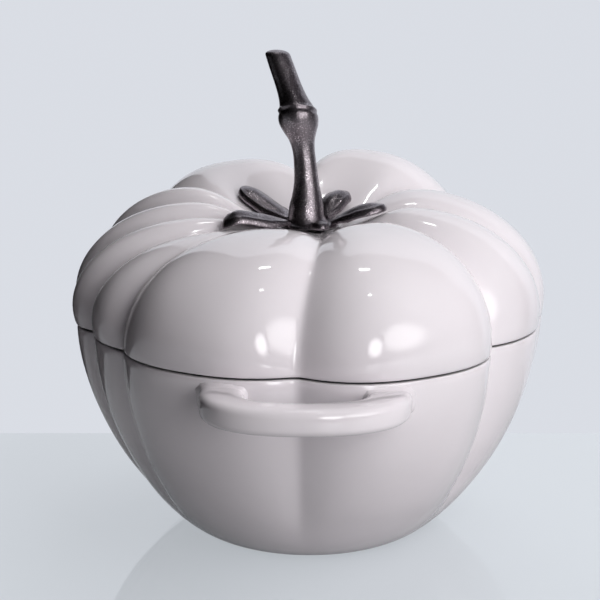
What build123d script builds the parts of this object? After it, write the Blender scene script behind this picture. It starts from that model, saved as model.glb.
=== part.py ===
"""Lobed cast iron pot with a domed lid, a stem knob on a five-leaf calyx, and two side grips.

Millimetres, +Z up. Origin at the middle of the flat base. The front of the pot faces -Y, and
angles round the pot are counted in degrees from the front towards +X.
"""
from build123d import *
from math import asin, atan2, cos, hypot, pi, radians, sin, sqrt
import os

os.makedirs("parts", exist_ok=True)

# pot
RIM_Z = 110.5            # height of the seam between pot and lid
BASE_R = 58.0            # flat ring the pot stands on
MEAN_R = 119.0           # mean radius of the rim
WALL = 4.0               # enamelled cast iron wall
FLOOR = 5.0              # floor thickness
GROOVE_START = 0.15      # how much of a groove's depth is left at the foot of the pot

# lobes, one line each: start angle, groove rim radius, groove crown height above the rim,
# bulge past the groove, rise past the groove, how square the lobe is,
# how far out its crown is, and the degrees its groove turns between the rim and the stem
LOBES = [
    (-3.0, 114.5, 53.0, 15.0, 7.5, 3.0, 0.45, 16.0),
    (56.0, 107.5, 53.0, 4.0, 7.5, 2.4, 0.45, 8.0),
    (87.0, 120.5, 56.0, 8.0, 6.5, 2.4, 0.47, 8.0),
    (121.0, 119.0, 62.0, 9.5, 15.5, 2.6, 0.60, 8.0),
    (179.0, 113.0, 69.0, 9.5, 9.5, 2.6, 0.62, 8.0),
    (242.0, 117.0, 63.0, 7.0, 6.0, 2.4, 0.52, 8.0),
    (256.0, 119.0, 60.0, 6.5, 4.5, 2.4, 0.47, 8.0),
    (269.0, 119.5, 54.0, 5.5, 4.5, 2.2, 0.45, 8.0),
    (285.0, 115.0, 49.0, 2.0, 2.5, 2.2, 0.45, 8.0),
    (306.0, 113.5, 51.0, 7.5, 6.0, 3.0, 0.45, 8.0),
]
STATIONS = [0.0, 0.07, 0.18, 0.34, 0.5, 0.66, 0.82, 0.93]   # section points across one lobe

# lid
LAND_R = 13.0            # flat land under the calyx
LAND_Z = RIM_Z + 50.0    # height of the land
BOSS = 7.0               # lid thickness at the land
LIP_DEPTH = 5.0          # lip that drops into the pot
LIP_WALL = 3.0
LIP_GAP = 1.0            # clearance between lip and pot
SEAM_GAP = 1.0           # shadow line left all round the rim
SEAM_DEPTH = 2.2
CREST = 0.7              # share of a meridian spent climbing to the crown
GROOVE_SHARE = 0.5       # how far out a groove's highest point is
GROOVE_WIDEST = 2.0      # height above the rim where a groove is widest
LOBE_WIDEST = 11.0       # height above the rim where a lobe is widest

# side grips
GRIP_X = -2.0            # the grips sit a little off the pot's middle
GRIP_HALF = 49.0         # half the width of a grip
GRIP_REACH = 153.0       # outer edge from the pot's axis
GRIP_ROOT = 95.0         # how far in the grip starts, inside the wall
GRIP_TOP = RIM_Z - 3.0
GRIP_THICK = 13.0
GRIP_SQUARE = 2.35       # how square the grip's outline is
GRIP_ROUND = 5.2
GRIP_BAR = 16.0          # width of the bar outside the finger slot
GRIP_ARM = 21.0          # width of each arm beside the slot
SLOT_REACH = GRIP_REACH - GRIP_BAR
SLOT_HALF = GRIP_HALF - GRIP_ARM
SLOT_SQUARE = 2.8
SLOT_ROUND = 3.6
GRIP_MID = 118.0         # where the grip's outline is widest

# knob stack, from the land upwards
SEAT = 0.8               # seat washer thickness
SEAT_R = 11.0
HUB = 2.4                # calyx hub thickness
HUB_R = 15.5
SCREW_R = 3.0            # M6
SCREW_GAP = 0.1
HOLE_GAP = 0.5
SCREW_GRIP = 16.0        # thread inside the stem
TIP_ROOM = 2.0
HEAD_R = 5.2
HEAD = 4.0
DRIVE_R = 1.9            # hexagon drive in the screw head
DRIVE_DEPTH = 2.4
WASHER = 1.6
WASHER_R = 9.0
LOCK = 1.6
LOCK_R = 5.4
LOCK_SLIT = 1.2

# stem: height above the rim, middle X, middle Y, radius
STEM = [
    (55.5, -1.6, 0.0, 9.7),
    (58.5, -1.7, 0.2, 9.2),
    (62.0, -1.6, 0.4, 8.8),
    (67.0, -1.4, 0.7, 7.7),
    (74.0, -1.6, 1.0, 6.5),
    (81.5, -2.1, 1.4, 6.0),
    (89.0, -2.9, 1.9, 5.8),
    (95.0, -3.9, 2.3, 6.6),
    (99.5, -4.9, 2.7, 8.5),
    (104.0, -5.6, 3.1, 10.2),
    (108.5, -6.0, 3.9, 10.3),
    (112.5, -6.8, 5.0, 8.8),
    (117.5, -8.7, 6.5, 7.5),
    (124.0, -11.2, 8.8, 6.9),
    (132.0, -14.2, 11.6, 6.7),
]
STEM_FOOT = (-1.0, 0.0, 10.6)      # middle X, middle Y and radius where the stem meets the hub
STEM_END = (141.0, -17.4, 14.6)    # height above the rim, middle X and Y of the blunt end
STEM_END_R = 6.6

# calyx leaves: angle, length, height of the arch, height of the tip, full width
LEAVES = [
    (18.0, 23.0, 3.0, 0.5, 11.0),
    (77.0, 41.0, 8.0, 3.5, 16.0),
    (149.0, 37.0, 11.0, 9.0, 15.0),
    (232.0, 47.0, 9.0, 7.0, 16.0),
    (293.0, 49.0, 6.5, 2.5, 16.0),
]
LEAF_SKIN = 2.4
LEAF_CUP = 0.22          # depth of the cupped section against its width
LEAF_GAP = 0.5           # air between the leaves and the enamel
LEAF_ROOT = 12.4         # radius where a leaf starts, on the edge of the hub
LEAF_SINK = 1.2          # how far a leaf's root sinks into the hub
LEAF_STEPS = [0.0, 0.15, 0.32, 0.5, 0.68, 0.82, 0.92, 0.98, 1.0]


def smooth(x):
    """Ease from 0 to 1."""
    return x * x * (3 - 2 * x)


def lobe(index, s):
    """Groove radius, groove crown, crest radius, crest crown and weight at s across a lobe."""
    this = LOBES[index]
    after = LOBES[(index + 1) % len(LOBES)]
    radius = this[1] + (after[1] - this[1]) * s
    crown = this[2] + (after[2] - this[2]) * s
    weight = 1 - abs(2 * s - 1) ** this[5]
    return radius, crown, radius + this[3], crown + this[4], weight


def angle_of(index, s):
    """Angle round the pot at s across a lobe."""
    start = LOBES[index][0]
    end = LOBES[(index + 1) % len(LOBES)][0]
    return start + ((end - start) % 360) * s


def turned(index, s, t):
    """Angle round the lid at s across a lobe, with the grooves' turn towards the stem."""
    start = LOBES[index][7]
    end = LOBES[(index + 1) % len(LOBES)][7]
    return angle_of(index, s) + (start + (end - start) * s) * t * t


def rim_radius(index, s):
    """Outer radius of pot and lid at the seam."""
    groove, _, crest, _, weight = lobe(index, s)
    return groove + (crest - groove) * weight


def pot_radius(index, s, z):
    """Outer radius of the pot at a height."""
    t = min(max(z / RIM_Z, 0.0), 1.0)
    curve = (1 - (1 - t) ** 1.8) ** (1 / 1.4)
    depth = (1 - (1 - GROOVE_START) * (1 - t) ** 1.5) * min(1.0, 3 * t)
    return BASE_R + (MEAN_R - BASE_R) * curve + (rim_radius(index, s) - MEAN_R) * depth


def arc(rim, height, top_r, low, t):
    """One meridian: out past the rim, over the crown and down to the land."""
    if t > CREST:
        s = (t - CREST) / (1 - CREST)
        return top_r - (top_r - LAND_R) * s, height - (height - (LAND_Z - RIM_Z)) * smooth(s)
    start = asin(low / (height - low))
    reach = (rim - top_r) / cos(start)
    turn = -start + (pi / 2 + start) * t / CREST
    return top_r + reach * cos(turn), low + (height - low) * sin(turn)


def lid_point(index, s, t):
    """Point on the lid's outer skin."""
    groove, crown, crest, peak, weight = lobe(index, s)
    low_r, low_z = arc(groove, crown, GROOVE_SHARE * groove, GROOVE_WIDEST, t)
    top_r, top_z = arc(crest, peak, LOBES[index][6] * crest, LOBE_WIDEST, t)
    r = low_r + (top_r - low_r) * weight
    z = low_z + (top_z - low_z) * weight
    a = radians(turned(index, s, t))
    return Vector(r * sin(a), -r * cos(a), RIM_Z + z)


def lid_inside(index, s, t, skin):
    """Point a skin thickness in from the lid's outer skin."""
    step = 0.02
    here = lid_point(index, s, t)
    along = lid_point(index, s, min(t + step, 1.0)) - lid_point(index, s, max(t - step, 0.0))
    before = lid_point(index, s - step, t) if s >= step else lid_point(index - 1, 1 + s - step, t)
    across = lid_point(index, s + step, t) - before
    out = across.cross(along).normalized()
    return here - out * skin


def loop(point):
    """Closed smooth wire through point(index, s) for every station of every lobe."""
    spots = [(i, s) for i in range(len(LOBES)) for s in STATIONS]
    knots = [angle_of(i, s) for i, s in spots] + [LOBES[0][0] + 360]
    points = [point(i, s) for i, s in spots]
    return Wire([Edge.make_spline(points, periodic=True, parameters=[k - knots[0] for k in knots])])


def flat_loop(z, inset, radius=None):
    """Closed wire in a level plane, inset from the rim or from a given radius function."""
    radius = radius or rim_radius

    def point(i, s):
        r = radius(i, s) - inset
        a = radians(angle_of(i, s))
        return Vector(r * sin(a), -r * cos(a), z)
    return loop(point)


def column(low, high, inset):
    """Straight lobed column between two heights."""
    face = Face(flat_loop(low, inset))
    return Solid.extrude(face, Vector(0, 0, high - low))


def rod(low, high, radius):
    """Round bar between two heights."""
    bar = Cylinder(radius, high - low, align=(Align.CENTER, Align.CENTER, Align.MIN))
    return Pos(0, 0, low) * bar


def ring(low, high, outer, inner):
    """Round washer between two heights."""
    return rod(low, high, outer) - rod(low - 1, high + 1, inner)


def pot_skin():
    """Outside of the pot as one smooth loft."""
    heights = [0.0, 0.006, 0.02, 0.05, 0.1, 0.17, 0.27, 0.4, 0.55, 0.7, 0.85, 1.0]
    wires = []
    for t in heights:
        z = RIM_Z * t
        wires.append(flat_loop(z, 0.0, lambda i, s, z=z: pot_radius(i, s, z)))
    return Solid.make_loft(wires, False)


def pot_cavity():
    """Inside of the pot, a wall thickness in from the skin, with a rounded floor corner."""
    lifts = [(0.0, 7.0), (1.0, 3.2), (3.5, 0.8), (8.0, 0.0), (16.0, 0.0), (28.0, 0.0), (44.0, 0.0),
             (62.0, 0.0), (80.0, 0.0), (95.0, 0.0), (RIM_Z + 1 - FLOOR, 0.0)]
    wires = []
    for lift, tuck in lifts:
        z = FLOOR + lift

        def radius(i, s, z=z, tuck=tuck):
            slope = pot_radius(i, s, z + 0.5) - pot_radius(i, s, z - 0.5)
            return pot_radius(i, s, z) - WALL * hypot(1.0, min(slope, 1.6)) - tuck
        wires.append(flat_loop(z, 0.0, radius))
    return Solid.make_loft(wires, False)


def outline(side, half, reach, square):
    """Level D shape that bows out along side * Y, on the plane of the grip's underside."""
    points = []
    for k in range(17):
        a = pi * k / 16
        x = abs(cos(a)) ** (2 / square) * (1 if cos(a) > 0 else -1)
        points.append((GRIP_X + half * x, side * (GRIP_MID + (reach - GRIP_MID) * sin(a) ** (2 / square))))
    ends = [(GRIP_X - half, side * GRIP_ROOT), (GRIP_X + half, side * GRIP_ROOT)]
    low = GRIP_TOP - GRIP_THICK
    bow = Edge.make_spline([Vector(x, y, low) for x, y in points])
    corners = [Vector(x, y, low) for x, y in (points[-1], *ends, points[0])]
    sides = [Edge.make_line(corners[k], corners[k + 1]) for k in range(3)]
    return Solid.extrude(Face(Wire([bow, *sides])), Vector(0, 0, GRIP_THICK))


def level_rims(solid, side, half, reach):
    """Top and bottom edges of a D shape that lie outside the wall's middle."""
    found = []
    for edge in solid.edges():
        c = edge.center()
        level = abs(abs(c.Z - (GRIP_TOP - GRIP_THICK / 2)) - GRIP_THICK / 2) < 0.01
        near = abs(c.X - GRIP_X) < half + 0.1 and side * c.Y < reach + 0.1
        if level and near and side * c.Y > GRIP_ROOT + 1:
            found.append(edge)
    return found


def grip(side):
    """One side grip with a finger slot, reaching out along side * Y."""
    plate = outline(side, GRIP_HALF, GRIP_REACH, GRIP_SQUARE)
    plate = fillet(level_rims(plate, side, GRIP_HALF, GRIP_REACH), GRIP_ROUND)
    plate = plate - outline(side, SLOT_HALF, SLOT_REACH, SLOT_SQUARE)
    return fillet(level_rims(plate, side, SLOT_HALF, SLOT_REACH), SLOT_ROUND)


def make_pot():
    """Pot with both grips, cast in one piece."""
    return pot_skin() + grip(-1) + grip(1) - pot_cavity()


def lid_skin():
    """Outside of the lid as one smooth loft, from the rim up to the land."""
    steps = [0.0, 0.06, 0.13, 0.21, 0.3, 0.4, 0.5, 0.6, 0.7, 0.78, 0.86, 0.93]
    wires = [loop(lambda i, s, t=t: lid_point(i, s, t)) for t in steps]
    wires.append(loop(lambda i, s: land_point(i, s, LAND_R, LAND_Z)))
    return Solid.make_loft(wires, False)


def land_point(i, s, r, z):
    """Point on a round level section near the land."""
    a = radians(turned(i, s, 1.0))
    return Vector(r * sin(a), -r * cos(a), z)


def lid_hollow():
    """Inside of the lid: straight past the lip, then a wall thickness in from the skin."""
    lip = WALL + LIP_GAP + LIP_WALL
    wires = [flat_loop(RIM_Z - LIP_DEPTH - 1, lip), flat_loop(RIM_Z - LIP_DEPTH / 2, lip)]
    steps = [0.07, 0.14, 0.22, 0.31, 0.41, 0.51, 0.61, 0.71, 0.8, 0.88]
    for t in steps:
        skin = WALL + (LIP_GAP + LIP_WALL) * max(0.0, 1 - t / 0.2) ** 2
        wires.append(loop(lambda i, s, t=t, skin=skin: lid_inside(i, s, t, skin)))
    wires.append(loop(lambda i, s: land_point(i, s, LAND_R, LAND_Z - BOSS)))
    return Solid.make_loft(wires, False)


def make_lid():
    """Lid with its lip, shadow line and the hole for the knob's screw."""
    lip = column(RIM_Z - LIP_DEPTH, RIM_Z + 0.5, WALL + LIP_GAP)
    shadow = column(RIM_Z - 1, RIM_Z + SEAM_GAP, -4.0) - column(RIM_Z - 2, RIM_Z + 2, SEAM_DEPTH)
    solid = (lid_skin() - shadow) + lip - lid_hollow()
    return solid - rod(LAND_Z - BOSS - 6, LAND_Z + 1, SCREW_R + HOLE_GAP)


def lid_height(x, y):
    """Height of the lid's skin under a point near the stem."""
    turn = atan2(x, -y) * 180 / pi
    low, high = CREST / 2, 1.0
    for _ in range(18):
        t = (low + high) / 2
        for index in range(len(LOBES)):
            start = turned(index, 0.0, t)
            span = turned(index, 1.0, t) - start
            if (turn - start) % 360 <= span:
                break
        spot = lid_point(index, (turn - start) % 360 / span, t)
        if hypot(spot.X, spot.Y) > hypot(x, y):
            low = t
        else:
            high = t
    return spot.Z


def leaf(angle, length, arch, tip, width):
    """One cupped leaf that springs from the hub, arches over and curls down at its tip."""
    foot = LAND_Z + SEAT + HUB

    def spine(u):
        rise = arch * sin(pi * min(u, 0.75) / 1.5)
        drop = (arch - tip) * max(0.0, (u - 0.6) / 0.4) ** 2
        r = LEAF_ROOT + (length - LEAF_ROOT) * u
        full = width * (0.55 + 0.45 * sin(pi * min(u / 0.45, 1.0) / 2)) * sqrt(max(1 - u ** 9, 0.08))
        skin = LEAF_SKIN * (1 - 0.3 * u)
        cup = LEAF_CUP * full * min(1.0, 3 * u)
        edges = []
        for side in (-0.5, 0.0, 0.5):
            a = radians(angle)
            x = r * sin(a) + side * full * cos(a)
            y = -r * cos(a) + side * full * sin(a)
            edges.append(lid_height(x, y) + (0 if side else -cup))
        floor = max(edges) + LEAF_GAP + cup + skin
        own = foot - LEAF_SINK + skin + rise - drop
        return r, max(own, floor), full, skin, cup
    wires = []
    for u in LEAF_STEPS:
        r, z, full, skin, cup = spine(u)
        at = Vector(r, 0, z)
        out = Vector(0, full / 2, 0)
        top = Vector(0, 0, cup + 0.2)
        low = Vector(0, 0, cup + skin)
        a, b = at - out - top, at + out - top
        c, d = at + out * 0.82 - low, at - out * 0.82 - low
        edges = [Edge.make_three_point_arc(a, at, b), Edge.make_line(b, c),
                 Edge.make_three_point_arc(c, at - Vector(0, 0, skin - 0.2), d), Edge.make_line(d, a)]
        wires.append(Wire(edges))
    return Rot(0, 0, angle - 90) * Solid.make_loft(wires, True)


def make_calyx():
    """Five leaves cast round a hub with a clearance hole for the screw."""
    floor = LAND_Z + SEAT
    hub = ring(floor, floor + HUB, HUB_R, SCREW_R + HOLE_GAP)
    for row in LEAVES:
        hub = hub + leaf(*row)
    return hub


def make_stem():
    """Bent stem with a node and a blunt end, tapped from below."""
    foot_z = LAND_Z + SEAT + HUB
    wires = [Wire([Edge.make_circle(STEM_FOOT[2], Plane((STEM_FOOT[0], STEM_FOOT[1], foot_z)))])]
    for z, x, y, r in STEM:
        wires.append(Wire([Edge.make_circle(r, Plane((x, y, RIM_Z + z)))]))
    last_z, last_x, last_y, _ = STEM[-1]
    for s in (0.4, 0.7, 0.88, 0.96, 1.0):
        z = last_z + (STEM_END[0] - last_z) * s
        x = last_x + (STEM_END[1] - last_x) * s
        y = last_y + (STEM_END[2] - last_y) * s
        r = STEM_END_R * sqrt(1 - 0.85 * s ** 5)
        wires.append(Wire([Edge.make_circle(r, Plane((x, y, RIM_Z + z)))]))
    stem = Solid.make_loft(wires, False)
    bore = SCREW_GRIP + TIP_ROOM
    hole = Cylinder(SCREW_R + SCREW_GAP, bore + 1, align=(Align.CENTER, Align.CENTER, Align.MIN))
    return stem - Pos(0, 0, foot_z - 1) * hole


def make_seat():
    """Soft washer between the calyx and the enamel."""
    return ring(LAND_Z, LAND_Z + SEAT, SEAT_R, SCREW_R + HOLE_GAP)


def make_washer():
    """Flat washer under the lid's land."""
    top = LAND_Z - BOSS
    return ring(top - WASHER, top, WASHER_R, SCREW_R + HOLE_GAP)


def make_lock():
    """Split lock washer."""
    top = LAND_Z - BOSS - WASHER
    slit = Pos(LOCK_R, 0, top - LOCK / 2) * Rot(0, 25, 0) * Box(2 * LOCK_R - 2, LOCK_SLIT, 3 * LOCK)
    return ring(top - LOCK, top, LOCK_R, SCREW_R + SCREW_GAP) - slit


def make_screw():
    """M6 pan head screw that pulls the stem down from under the lid."""
    under = LAND_Z - BOSS - WASHER - LOCK
    tip = LAND_Z + SEAT + HUB + SCREW_GRIP
    shank = Pos(0, 0, under) * Cylinder(SCREW_R, tip - under, align=(Align.CENTER, Align.CENTER, Align.MIN))
    shank = chamfer(shank.edges().sort_by(Axis.Z)[-1], SCREW_R / 4)
    head = Pos(0, 0, under) * Cylinder(HEAD_R, HEAD, align=(Align.CENTER, Align.CENTER, Align.MAX))
    head = fillet(head.edges().sort_by(Axis.Z)[0], HEAD / 3)
    drive = Plane((0, 0, under - HEAD)) * RegularPolygon(DRIVE_R, 6)
    return head + shank - extrude(drive, DRIVE_DEPTH)


NODES = {
    "pot_body": make_pot,
    "lid": make_lid,
    "calyx": make_calyx,
    "stem_knob": make_stem,
    "seat_washer": make_seat,
    "flat_washer": make_washer,
    "lock_washer": make_lock,
    "knob_screw": make_screw,
}

for name, make in NODES.items():
    export_step(make(), f"parts/{name}.step")
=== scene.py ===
"""Dresses the lobed cast iron pot: enamel shells, side grips, stem knob and leaves.

Everything is in metres in the row frame. The shaping formulas work in millimetres, as the
source does, and angles are degrees from the front (-Y) towards +X.
"""

import logging
import math
from dataclasses import dataclass
from enum import Enum
from typing import Callable, Optional, Sequence

import bpy
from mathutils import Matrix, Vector

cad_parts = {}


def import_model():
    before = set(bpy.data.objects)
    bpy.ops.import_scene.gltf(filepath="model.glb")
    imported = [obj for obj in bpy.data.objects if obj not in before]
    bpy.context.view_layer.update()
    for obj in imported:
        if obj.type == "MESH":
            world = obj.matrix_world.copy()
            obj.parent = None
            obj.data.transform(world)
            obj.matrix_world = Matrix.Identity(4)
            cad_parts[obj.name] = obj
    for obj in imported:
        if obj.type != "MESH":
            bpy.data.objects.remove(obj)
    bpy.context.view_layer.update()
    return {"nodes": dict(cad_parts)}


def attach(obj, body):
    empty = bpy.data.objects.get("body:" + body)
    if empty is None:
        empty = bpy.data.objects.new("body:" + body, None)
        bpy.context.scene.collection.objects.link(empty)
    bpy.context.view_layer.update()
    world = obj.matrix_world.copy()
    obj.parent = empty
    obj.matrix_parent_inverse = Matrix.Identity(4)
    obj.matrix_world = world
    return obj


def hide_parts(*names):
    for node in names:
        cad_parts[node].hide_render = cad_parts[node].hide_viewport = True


LOG = logging.getLogger("pot")
MM = 0.001
WELD = 0.00001
CREASE = 50.0
WHITE_CLEAR = (1.0, 0.985, 1.0)
BLACK = (0, 0, 0)
Ring = list[Vector]


class Body(Enum):
    """The two bodies of the frame."""

    POT = "pot"
    LID = "lid"


class Slot(Enum):
    """Material slots of the pieces that are made here."""

    ENAMEL = "enamel"
    CASTING = "dark_casting"


class Value:
    """A shader socket that takes part in Python expressions."""

    def __init__(self, tree: "Nodes", socket: bpy.types.NodeSocket) -> None:
        """Wraps one output socket.

        Args:
            tree: the node tree that the socket is in.
            socket: the output socket.
        """
        self.tree = tree
        self.socket = socket

    def _math(self, operation: str, *values: object) -> "Value":
        """Adds a Math node and returns its output."""
        return self.tree.math(operation, *values)

    def __add__(self, other: object) -> "Value":
        """Sum."""
        return self._math("ADD", self, other)

    __radd__ = __add__

    def __mul__(self, other: object) -> "Value":
        """Product."""
        return self._math("MULTIPLY", self, other)

    __rmul__ = __mul__

    def __sub__(self, other: object) -> "Value":
        """Difference."""
        return self._math("SUBTRACT", self, other)

    def __rsub__(self, other: object) -> "Value":
        """Reflected difference."""
        return self._math("SUBTRACT", other, self)


class Nodes:
    """One material's node tree."""

    def __init__(self, name: str) -> None:
        """Makes a material with a bare Principled shader.

        Args:
            name: the material's name.
        """
        self.material = bpy.data.materials.new(name)
        self.material.use_nodes = True
        self.tree = self.material.node_tree
        self.shader = self.tree.nodes["Principled BSDF"]

    def add(self, kind: str, inputs: Optional[dict] = None, **settings: object) -> bpy.types.Node:
        """Adds any node.

        Args:
            kind: the node's bl_idname.
            inputs: values or Value sockets by input name or number.
            settings: attributes of the node.

        Returns:
            The node.
        """
        node = self.tree.nodes.new(kind)
        for key, value in settings.items():
            setattr(node, key, value)
        for key, value in (inputs or {}).items():
            if isinstance(value, Value):
                self.tree.links.new(value.socket, node.inputs[key])
            else:
                node.inputs[key].default_value = value
        return node

    def out(self, node: bpy.types.Node, name: object = 0) -> Value:
        """Wraps one output of a node."""
        return Value(self, node.outputs[name])

    def math(self, operation: str, *values: object) -> Value:
        """Adds a Math node.

        Args:
            operation: the node's operation.
            values: numbers or Values.

        Returns:
            Its output.
        """
        return self.out(self.add("ShaderNodeMath", dict(enumerate(values)), operation=operation))

    def place(self, scale: Sequence[float] = (1, 1, 1)) -> Value:
        """Object coordinates, stretched by scale."""
        spot = self.out(self.add("ShaderNodeTexCoord"), "Object")
        return self.out(self.add("ShaderNodeMapping", {"Vector": spot, "Scale": scale}))

    def noise(self, at: Value, scale: float, detail: float = 2.0, rough: float = 0.5) -> Value:
        """Noise between about 0 and 1."""
        inputs = {"Vector": at, "Scale": scale, "Detail": detail, "Roughness": rough}
        return self.out(self.add("ShaderNodeTexNoise", inputs), 0)

    def ramp(self, value: Value, low: float, high: float) -> Value:
        """Stretches low to high onto 0 to 1, smoothly."""
        inputs = {"Value": value, "From Min": low, "From Max": high}
        return self.out(self.add("ShaderNodeMapRange", inputs, interpolation_type="SMOOTHSTEP"))

    def mix(self, factor: Value, first: Sequence[float], second: Sequence[float]) -> Value:
        """Mixes two colours."""
        inputs = {0: factor, 6: (*first, 1), 7: (*second, 1)}
        return self.out(self.add("ShaderNodeMix", inputs, data_type="RGBA"), 2)

    def bump(self, height: Value, depth: float, strength: float = 1.0) -> Value:
        """Bump from a height, depth in metres."""
        inputs = {"Height": height, "Distance": depth, "Strength": strength}
        return self.out(self.add("ShaderNodeBump", inputs))

    def feed(self, **inputs: object) -> None:
        """Sets the shader's inputs.

        Args:
            inputs: values or Value sockets by input name, underscores standing for spaces.
        """
        for key, value in inputs.items():
            socket = self.shader.inputs[key.replace("_", " ")]
            if isinstance(value, Value):
                self.tree.links.new(value.socket, socket)
            else:
                socket.default_value = value


@dataclass(frozen=True)
class Enamel:
    """Glossy vitreous enamel that thins to a darker tone over the iron."""

    name: str = "enamel_gloss"
    light: tuple = (0.815, 0.768, 0.80)
    thin: tuple = (0.715, 0.665, 0.70)
    gloss: float = 0.07
    cloud_scale: float = 14.0
    ripple_scale: float = 70.0
    pit_scale: float = 900.0
    depth: float = 0.00035
    coat: float = 0.6
    ior: float = 1.52

    def build(self) -> bpy.types.Material:
        """Makes the material.

        Returns:
            The material.
        """
        n = Nodes(self.name)
        at = n.place()
        cloud = n.noise(at, self.cloud_scale)
        tone = n.ramp(cloud, 0.3, 0.75)
        ripple = n.noise(at, self.ripple_scale, 1.0, 0.4)
        pits = n.noise(at, self.pit_scale, rough=0.6)
        n.feed(
            Base_Color=n.mix(tone * 0.35, self.light, self.thin),
            Roughness=self.gloss + 0.05 * n.ramp(pits, 0.5, 0.8),
            Normal=n.bump(ripple + 0.02 * pits, self.depth, 0.55),
            Coat_Weight=self.coat, Coat_Roughness=0.03, IOR=self.ior, Specular_IOR_Level=0.5,
        )
        return n.material


@dataclass(frozen=True)
class RimCoat:
    """Matt black coat on the bare rims where pot and lid meet."""

    name: str = "rim_matt_black"
    dark: tuple = (0.012, 0.011, 0.012)
    worn: tuple = (0.03, 0.028, 0.028)
    grain_scale: float = 1400.0
    depth: float = 0.00012

    def build(self) -> bpy.types.Material:
        """Makes the material.

        Returns:
            The material.
        """
        n = Nodes(self.name)
        grain = n.noise(n.place(), self.grain_scale, 3.0, 0.6)
        n.feed(
            Base_Color=n.mix(n.ramp(grain, 0.35, 0.7), self.dark, self.worn),
            Roughness=0.45 + 0.25 * grain, Normal=n.bump(grain, self.depth, 0.6),
        )
        return n.material


@dataclass(frozen=True)
class DarkCasting:
    """Blackened nickel casting with a fine pebbled skin and rubbed high spots."""

    name: str = "casting_gunmetal"
    dark: tuple = (0.17, 0.148, 0.163)
    rubbed: tuple = (0.92, 0.85, 0.885)
    grain_scale: float = 1300.0
    pebble_scale: float = 260.0
    cloud_scale: float = 45.0
    depth: float = 0.00022

    def build(self) -> bpy.types.Material:
        """Makes the material.

        Returns:
            The material.
        """
        n = Nodes(self.name)
        at = n.place()
        grain = n.noise(at, self.grain_scale)
        pebble = n.noise(at, self.pebble_scale)
        cloud = n.noise(at, self.cloud_scale)
        worn = n.ramp(grain * 0.7 + pebble * 0.3, 0.48, 0.72)
        n.feed(
            Base_Color=n.mix(worn * 0.6 + cloud * 0.2, self.dark, self.rubbed), Metallic=1.0,
            Roughness=0.27 + 0.10 * cloud - 0.07 * worn,
            Normal=n.bump(grain + pebble * 0.5, self.depth, 0.6),
        )
        return n.material


@dataclass(frozen=True)
class TurnedSteel:
    """Stainless hardware with fine turning marks."""

    name: str = "steel_turned"
    dark: tuple = (0.46, 0.46, 0.47)
    bright: tuple = (0.62, 0.62, 0.63)
    stretch: tuple = (1, 1, 14)
    line_scale: float = 900.0
    depth: float = 0.00004

    def build(self) -> bpy.types.Material:
        """Makes the material.

        Returns:
            The material.
        """
        n = Nodes(self.name)
        lines = n.noise(n.place(self.stretch), self.line_scale)
        n.feed(
            Base_Color=n.mix(lines, self.dark, self.bright), Metallic=1.0,
            Roughness=0.22 + 0.2 * lines, Normal=n.bump(lines, self.depth, 0.5),
        )
        return n.material


@dataclass(frozen=True)
class Silicone:
    """Soft black seat washer."""

    name: str = "silicone_black"
    dark: tuple = (0.02, 0.02, 0.021)
    dusty: tuple = (0.035, 0.034, 0.034)
    grain_scale: float = 1100.0
    depth: float = 0.00006

    def build(self) -> bpy.types.Material:
        """Makes the material.

        Returns:
            The material.
        """
        n = Nodes(self.name)
        grain = n.noise(n.place(), self.grain_scale)
        n.feed(
            Base_Color=n.mix(grain, self.dark, self.dusty),
            Roughness=0.5 + 0.2 * grain, Normal=n.bump(grain, self.depth, 0.5),
        )
        return n.material


class Finishes:
    """Every material of the pot, built once."""

    def __init__(self) -> None:
        """Builds the materials."""
        self.enamel = Enamel().build()
        self.inner = Enamel(
            name="enamel_inside", light=(0.78, 0.75, 0.73), thin=(0.68, 0.65, 0.63), gloss=0.12).build()
        self.rim = RimCoat().build()
        self.casting = DarkCasting().build()
        self.steel = TurnedSteel().build()
        self.silicone = Silicone().build()


def deselect() -> None:
    """Leaves object mode with nothing selected."""
    if bpy.context.object and bpy.context.object.mode != "OBJECT":
        bpy.ops.object.mode_set(mode="OBJECT")
    bpy.ops.object.select_all(action="DESELECT")


def lattice(name: str, rings: Sequence[Ring], bands: Optional[Sequence[int]] = None) -> bpy.types.Object:
    """Bends a flat grid into a skin through closed rings of points.

    Args:
        name: the object's name.
        rings: rings of equal length, in millimetres, each point next to its neighbours.
        bands: material number of each strip between rings, or none for a piece of one finish.

    Returns:
        The object, welded, with its normals outwards.
    """
    deselect()
    rows = [[*ring, ring[0]] for ring in rings]
    across, along = len(rows[0]) - 1, len(rows) - 1
    bpy.ops.mesh.primitive_grid_add(x_subdivisions=across, y_subdivisions=along, size=1)
    obj = bpy.context.object
    obj.name = obj.data.name = name
    obj.data.vertices.foreach_set("co", [c * MM for row in rows for point in row for c in point])
    for count, face in enumerate(obj.data.polygons):
        face.material_index = bands[count // across] if bands else 0
    bpy.ops.object.mode_set(mode="EDIT")
    bpy.ops.mesh.select_all(action="SELECT")
    bpy.ops.mesh.remove_doubles(threshold=WELD)
    bpy.ops.mesh.normals_make_consistent(inside=False)
    bpy.ops.object.mode_set(mode="OBJECT")
    obj.location = (0, 0, 0)
    bpy.ops.object.shade_smooth_by_angle(angle=math.radians(CREASE))
    return obj


def capped(rings: list[Ring]) -> list[Ring]:
    """Closes both ends of a row of rings.

    Args:
        rings: the rings, in order.

    Returns:
        The rings, with one drawn in to a point before the first and one after the last.
    """
    first, last = ([sum(ring, Vector()) / len(ring)] * len(ring) for ring in (rings[0], rings[-1]))
    return [first, *rings, last]


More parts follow.
